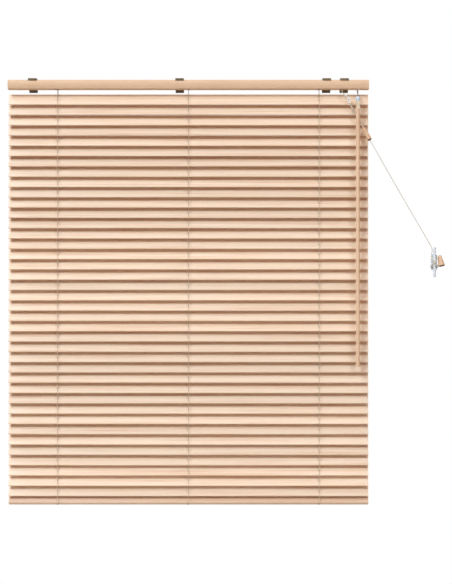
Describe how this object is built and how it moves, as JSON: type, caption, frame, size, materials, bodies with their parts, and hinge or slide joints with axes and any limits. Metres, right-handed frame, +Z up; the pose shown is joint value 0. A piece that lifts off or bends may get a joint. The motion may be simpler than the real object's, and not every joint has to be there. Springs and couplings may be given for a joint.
{
  "type": "venetian blind",
  "caption": "Wooden venetian blind that hangs from a headrail, with ladder strings, a tilt wand, and a pull cord wound on a wall cleat.",
  "frame": {"origin": "the point in the ceiling plane midway between the outer ceiling screws, over the middle of the slats", "axes": "+X along the slats towards the wand, +Y towards the wall, +Z up"},
  "size_m": [0.9127, 0.0417, 0.8901],
  "materials": {
    "slat_wood": "satin",
    "wand_wood": "satin",
    "beige_steel": "satin",
    "beige_plastic": "satin",
    "brown_steel": "satin",
    "plain_steel": "plain",
    "white_plastic": "satin",
    "clear_plastic": "gloss",
    "cream_cord": "braided"
  },
  "bodies": {
    "headrail": {"headrail": "beige_steel", "end_caps": "beige_plastic", "mounting_brackets": "brown_steel", "drum_cradles": "white_plastic", "tilter_housing": "white_plastic", "cord_lock": "plain_steel", "lift_cords": "cream_cord", "pull_cords": "cream_cord", "cord_fittings": "wand_wood", "cord_cleat": "clear_plastic"},
    "slat_01": {"slat_01": "slat_wood"},
    "slat_02": {"slat_02": "slat_wood"},
    "slat_03": {"slat_03": "slat_wood"},
    "slat_04": {"slat_04": "slat_wood"},
    "slat_05": {"slat_05": "slat_wood"},
    "slat_06": {"slat_06": "slat_wood"},
    "slat_07": {"slat_07": "slat_wood"},
    "slat_08": {"slat_08": "slat_wood"},
    "slat_09": {"slat_09": "slat_wood"},
    "slat_10": {"slat_10": "slat_wood"},
    "slat_11": {"slat_11": "slat_wood"},
    "slat_12": {"slat_12": "slat_wood"},
    "slat_13": {"slat_13": "slat_wood"},
    "slat_14": {"slat_14": "slat_wood"},
    "slat_15": {"slat_15": "slat_wood"},
    "slat_16": {"slat_16": "slat_wood"},
    "slat_17": {"slat_17": "slat_wood"},
    "slat_18": {"slat_18": "slat_wood"},
    "slat_19": {"slat_19": "slat_wood"},
    "slat_20": {"slat_20": "slat_wood"},
    "slat_21": {"slat_21": "slat_wood"},
    "slat_22": {"slat_22": "slat_wood"},
    "slat_23": {"slat_23": "slat_wood"},
    "slat_24": {"slat_24": "slat_wood"},
    "slat_25": {"slat_25": "slat_wood"},
    "slat_26": {"slat_26": "slat_wood"},
    "slat_27": {"slat_27": "slat_wood"},
    "slat_28": {"slat_28": "slat_wood"},
    "slat_29": {"slat_29": "slat_wood"},
    "slat_30": {"slat_30": "slat_wood"},
    "slat_31": {"slat_31": "slat_wood"},
    "slat_32": {"slat_32": "slat_wood"},
    "slat_33": {"slat_33": "slat_wood"},
    "slat_34": {"slat_34": "slat_wood"},
    "slat_35": {"slat_35": "slat_wood"},
    "slat_36": {"slat_36": "slat_wood"},
    "slat_37": {"slat_37": "slat_wood"},
    "slat_38": {"slat_38": "slat_wood"},
    "slat_39": {"slat_39": "slat_wood"},
    "bottom_rail": {"bottom_rail": "slat_wood", "bottom_plugs": "brown_steel"},
    "tilt_rod": {"tilt_rod": "plain_steel", "tilt_drums": "white_plastic", "tilter_gear": "white_plastic"},
    "tilter_worm": {"tilter_worm": "plain_steel"},
    "wand": {"wand_connector": "clear_plastic", "wand": "wand_wood"},
    "lock_roller": {"cord_lock_roller": "white_plastic"},
    "front_ladders": {"front_ladder_strings": "cream_cord"},
    "back_ladders": {"back_ladder_strings": "cream_cord"}
  },
  "joints": [
    {"name": "wand_spin", "type": "hinge", "parent": "headrail", "child": "wand", "pos_m": [0.3526, -0.02, -0.036], "axis": [0, 0, 1], "range_deg": [0, 2160]},
    {"name": "worm_spin", "type": "hinge", "parent": "headrail", "child": "tilter_worm", "pos_m": [0.3526, 0.00449, -0.016], "axis": [0, 0.7745, 0.6325], "range_deg": [0, 2160]},
    {"name": "rod_spin", "type": "hinge", "parent": "headrail", "child": "tilt_rod", "pos_m": [0, 0, -0.0105], "axis": [-1, 0, 0], "range_deg": [0, 216]},
    {"name": "slat_tilt_01", "type": "hinge", "parent": "headrail", "child": "slat_01", "pos_m": [0, 0, -0.0437], "axis": [-1, 0, 0], "range_deg": [0, 124]},
    {"name": "slat_tilt_02", "type": "hinge", "parent": "headrail", "child": "slat_02", "pos_m": [0, 0, -0.0652], "axis": [-1, 0, 0], "range_deg": [0, 124]},
    {"name": "slat_tilt_03", "type": "hinge", "parent": "headrail", "child": "slat_03", "pos_m": [0, 0, -0.0867], "axis": [-1, 0, 0], "range_deg": [0, 124]},
    {"name": "slat_tilt_04", "type": "hinge", "parent": "headrail", "child": "slat_04", "pos_m": [0, 0, -0.1082], "axis": [-1, 0, 0], "range_deg": [0, 124]},
    {"name": "slat_tilt_05", "type": "hinge", "parent": "headrail", "child": "slat_05", "pos_m": [0, 0, -0.1297], "axis": [-1, 0, 0], "range_deg": [0, 124]},
    {"name": "slat_tilt_06", "type": "hinge", "parent": "headrail", "child": "slat_06", "pos_m": [0, 0, -0.1512], "axis": [-1, 0, 0], "range_deg": [0, 124]},
    {"name": "slat_tilt_07", "type": "hinge", "parent": "headrail", "child": "slat_07", "pos_m": [0, 0, -0.1727], "axis": [-1, 0, 0], "range_deg": [0, 124]},
    {"name": "slat_tilt_08", "type": "hinge", "parent": "headrail", "child": "slat_08", "pos_m": [0, 0, -0.1942], "axis": [-1, 0, 0], "range_deg": [0, 124]},
    {"name": "slat_tilt_09", "type": "hinge", "parent": "headrail", "child": "slat_09", "pos_m": [0, 0, -0.2157], "axis": [-1, 0, 0], "range_deg": [0, 124]},
    {"name": "slat_tilt_10", "type": "hinge", "parent": "headrail", "child": "slat_10", "pos_m": [0, 0, -0.2372], "axis": [-1, 0, 0], "range_deg": [0, 124]},
    {"name": "slat_tilt_11", "type": "hinge", "parent": "headrail", "child": "slat_11", "pos_m": [0, 0, -0.2587], "axis": [-1, 0, 0], "range_deg": [0, 124]},
    {"name": "slat_tilt_12", "type": "hinge", "parent": "headrail", "child": "slat_12", "pos_m": [0, 0, -0.2802], "axis": [-1, 0, 0], "range_deg": [0, 124]},
    {"name": "slat_tilt_13", "type": "hinge", "parent": "headrail", "child": "slat_13", "pos_m": [0, 0, -0.3017], "axis": [-1, 0, 0], "range_deg": [0, 124]},
    {"name": "slat_tilt_14", "type": "hinge", "parent": "headrail", "child": "slat_14", "pos_m": [0, 0, -0.3232], "axis": [-1, 0, 0], "range_deg": [0, 124]},
    {"name": "slat_tilt_15", "type": "hinge", "parent": "headrail", "child": "slat_15", "pos_m": [0, 0, -0.3447], "axis": [-1, 0, 0], "range_deg": [0, 124]},
    {"name": "slat_tilt_16", "type": "hinge", "parent": "headrail", "child": "slat_16", "pos_m": [0, 0, -0.3662], "axis": [-1, 0, 0], "range_deg": [0, 124]},
    {"name": "slat_tilt_17", "type": "hinge", "parent": "headrail", "child": "slat_17", "pos_m": [0, 0, -0.3877], "axis": [-1, 0, 0], "range_deg": [0, 124]},
    {"name": "slat_tilt_18", "type": "hinge", "parent": "headrail", "child": "slat_18", "pos_m": [0, 0, -0.4092], "axis": [-1, 0, 0], "range_deg": [0, 124]},
    {"name": "slat_tilt_19", "type": "hinge", "parent": "headrail", "child": "slat_19", "pos_m": [0, 0, -0.4307], "axis": [-1, 0, 0], "range_deg": [0, 124]},
    {"name": "slat_tilt_20", "type": "hinge", "parent": "headrail", "child": "slat_20", "pos_m": [0, 0, -0.4522], "axis": [-1, 0, 0], "range_deg": [0, 124]},
    {"name": "slat_tilt_21", "type": "hinge", "parent": "headrail", "child": "slat_21", "pos_m": [0, 0, -0.4737], "axis": [-1, 0, 0], "range_deg": [0, 124]},
    {"name": "slat_tilt_22", "type": "hinge", "parent": "headrail", "child": "slat_22", "pos_m": [0, 0, -0.4952], "axis": [-1, 0, 0], "range_deg": [0, 124]},
    {"name": "slat_tilt_23", "type": "hinge", "parent": "headrail", "child": "slat_23", "pos_m": [0, 0, -0.5167], "axis": [-1, 0, 0], "range_deg": [0, 124]},
    {"name": "slat_tilt_24", "type": "hinge", "parent": "headrail", "child": "slat_24", "pos_m": [0, 0, -0.5382], "axis": [-1, 0, 0], "range_deg": [0, 124]},
    {"name": "slat_tilt_25", "type": "hinge", "parent": "headrail", "child": "slat_25", "pos_m": [0, 0, -0.5597], "axis": [-1, 0, 0], "range_deg": [0, 124]},
    {"name": "slat_tilt_26", "type": "hinge", "parent": "headrail", "child": "slat_26", "pos_m": [0, 0, -0.5812], "axis": [-1, 0, 0], "range_deg": [0, 124]},
    {"name": "slat_tilt_27", "type": "hinge", "parent": "headrail", "child": "slat_27", "pos_m": [0, 0, -0.6027], "axis": [-1, 0, 0], "range_deg": [0, 124]},
    {"name": "slat_tilt_28", "type": "hinge", "parent": "headrail", "child": "slat_28", "pos_m": [0, 0, -0.6242], "axis": [-1, 0, 0], "range_deg": [0, 124]},
    {"name": "slat_tilt_29", "type": "hinge", "parent": "headrail", "child": "slat_29", "pos_m": [0, 0, -0.6457], "axis": [-1, 0, 0], "range_deg": [0, 124]},
    {"name": "slat_tilt_30", "type": "hinge", "parent": "headrail", "child": "slat_30", "pos_m": [0, 0, -0.6672], "axis": [-1, 0, 0], "range_deg": [0, 124]},
    {"name": "slat_tilt_31", "type": "hinge", "parent": "headrail", "child": "slat_31", "pos_m": [0, 0, -0.6887], "axis": [-1, 0, 0], "range_deg": [0, 124]},
    {"name": "slat_tilt_32", "type": "hinge", "parent": "headrail", "child": "slat_32", "pos_m": [0, 0, -0.7102], "axis": [-1, 0, 0], "range_deg": [0, 124]},
    {"name": "slat_tilt_33", "type": "hinge", "parent": "headrail", "child": "slat_33", "pos_m": [0, 0, -0.7317], "axis": [-1, 0, 0], "range_deg": [0, 124]},
    {"name": "slat_tilt_34", "type": "hinge", "parent": "headrail", "child": "slat_34", "pos_m": [0, 0, -0.7532], "axis": [-1, 0, 0], "range_deg": [0, 124]},
    {"name": "slat_tilt_35", "type": "hinge", "parent": "headrail", "child": "slat_35", "pos_m": [0, 0, -0.7747], "axis": [-1, 0, 0], "range_deg": [0, 124]},
    {"name": "slat_tilt_36", "type": "hinge", "parent": "headrail", "child": "slat_36", "pos_m": [0, 0, -0.7962], "axis": [-1, 0, 0], "range_deg": [0, 124]},
    {"name": "slat_tilt_37", "type": "hinge", "parent": "headrail", "child": "slat_37", "pos_m": [0, 0, -0.8177], "axis": [-1, 0, 0], "range_deg": [0, 124]},
    {"name": "slat_tilt_38", "type": "hinge", "parent": "headrail", "child": "slat_38", "pos_m": [0, 0, -0.8392], "axis": [-1, 0, 0], "range_deg": [0, 124]},
    {"name": "slat_tilt_39", "type": "hinge", "parent": "headrail", "child": "slat_39", "pos_m": [0, 0, -0.8607], "axis": [-1, 0, 0], "range_deg": [0, 124]},
    {"name": "base_tilt", "type": "hinge", "parent": "headrail", "child": "bottom_rail", "pos_m": [0, 0, -0.8749], "axis": [-1, 0, 0], "range_deg": [0, 124]},
    {"name": "front_ladder_swing", "type": "hinge", "parent": "slat_01", "child": "front_ladders", "pos_m": [0, -0.00714, -0.05712], "axis": [-1, 0, 0], "range_deg": [-124, 0], "deforming": ["front_ladder_strings"]},
    {"name": "back_ladder_swing", "type": "hinge", "parent": "slat_01", "child": "back_ladders", "pos_m": [0, 0.00714, -0.03028], "axis": [-1, 0, 0], "range_deg": [-124, 0], "deforming": ["back_ladder_strings"]},
    {"name": "lock_roller_slide", "type": "slide", "parent": "headrail", "child": "lock_roller", "axis": [0.5, 0, 0.866], "range_m": [0, 0.004]}
  ],
  "couplings": [
    {"joint": "worm_spin", "follows": "wand_spin", "ratio": 1},
    {"joint": "rod_spin", "follows": "wand_spin", "ratio": 0.1},
    {"joint": "slat_tilt_01", "follows": "wand_spin", "ratio": 0.057407},
    {"joint": "slat_tilt_02", "follows": "wand_spin", "ratio": 0.057407},
    {"joint": "slat_tilt_03", "follows": "wand_spin", "ratio": 0.057407},
    {"joint": "slat_tilt_04", "follows": "wand_spin", "ratio": 0.057407},
    {"joint": "slat_tilt_05", "follows": "wand_spin", "ratio": 0.057407},
    {"joint": "slat_tilt_06", "follows": "wand_spin", "ratio": 0.057407},
    {"joint": "slat_tilt_07", "follows": "wand_spin", "ratio": 0.057407},
    {"joint": "slat_tilt_08", "follows": "wand_spin", "ratio": 0.057407},
    {"joint": "slat_tilt_09", "follows": "wand_spin", "ratio": 0.057407},
    {"joint": "slat_tilt_10", "follows": "wand_spin", "ratio": 0.057407},
    {"joint": "slat_tilt_11", "follows": "wand_spin", "ratio": 0.057407},
    {"joint": "slat_tilt_12", "follows": "wand_spin", "ratio": 0.057407},
    {"joint": "slat_tilt_13", "follows": "wand_spin", "ratio": 0.057407},
    {"joint": "slat_tilt_14", "follows": "wand_spin", "ratio": 0.057407},
    {"joint": "slat_tilt_15", "follows": "wand_spin", "ratio": 0.057407},
    {"joint": "slat_tilt_16", "follows": "wand_spin", "ratio": 0.057407},
    {"joint": "slat_tilt_17", "follows": "wand_spin", "ratio": 0.057407},
    {"joint": "slat_tilt_18", "follows": "wand_spin", "ratio": 0.057407},
    {"joint": "slat_tilt_19", "follows": "wand_spin", "ratio": 0.057407},
    {"joint": "slat_tilt_20", "follows": "wand_spin", "ratio": 0.057407},
    {"joint": "slat_tilt_21", "follows": "wand_spin", "ratio": 0.057407},
    {"joint": "slat_tilt_22", "follows": "wand_spin", "ratio": 0.057407},
    {"joint": "slat_tilt_23", "follows": "wand_spin", "ratio": 0.057407},
    {"joint": "slat_tilt_24", "follows": "wand_spin", "ratio": 0.057407},
    {"joint": "slat_tilt_25", "follows": "wand_spin", "ratio": 0.057407},
    {"joint": "slat_tilt_26", "follows": "wand_spin", "ratio": 0.057407},
    {"joint": "slat_tilt_27", "follows": "wand_spin", "ratio": 0.057407},
    {"joint": "slat_tilt_28", "follows": "wand_spin", "ratio": 0.057407},
    {"joint": "slat_tilt_29", "follows": "wand_spin", "ratio": 0.057407},
    {"joint": "slat_tilt_30", "follows": "wand_spin", "ratio": 0.057407},
    {"joint": "slat_tilt_31", "follows": "wand_spin", "ratio": 0.057407},
    {"joint": "slat_tilt_32", "follows": "wand_spin", "ratio": 0.057407},
    {"joint": "slat_tilt_33", "follows": "wand_spin", "ratio": 0.057407},
    {"joint": "slat_tilt_34", "follows": "wand_spin", "ratio": 0.057407},
    {"joint": "slat_tilt_35", "follows": "wand_spin", "ratio": 0.057407},
    {"joint": "slat_tilt_36", "follows": "wand_spin", "ratio": 0.057407},
    {"joint": "slat_tilt_37", "follows": "wand_spin", "ratio": 0.057407},
    {"joint": "slat_tilt_38", "follows": "wand_spin", "ratio": 0.057407},
    {"joint": "slat_tilt_39", "follows": "wand_spin", "ratio": 0.057407},
    {"joint": "base_tilt", "follows": "wand_spin", "ratio": 0.057407},
    {"joint": "front_ladder_swing", "follows": "wand_spin", "ratio": -0.057407},
    {"joint": "back_ladder_swing", "follows": "wand_spin", "ratio": -0.057407}
  ]
}
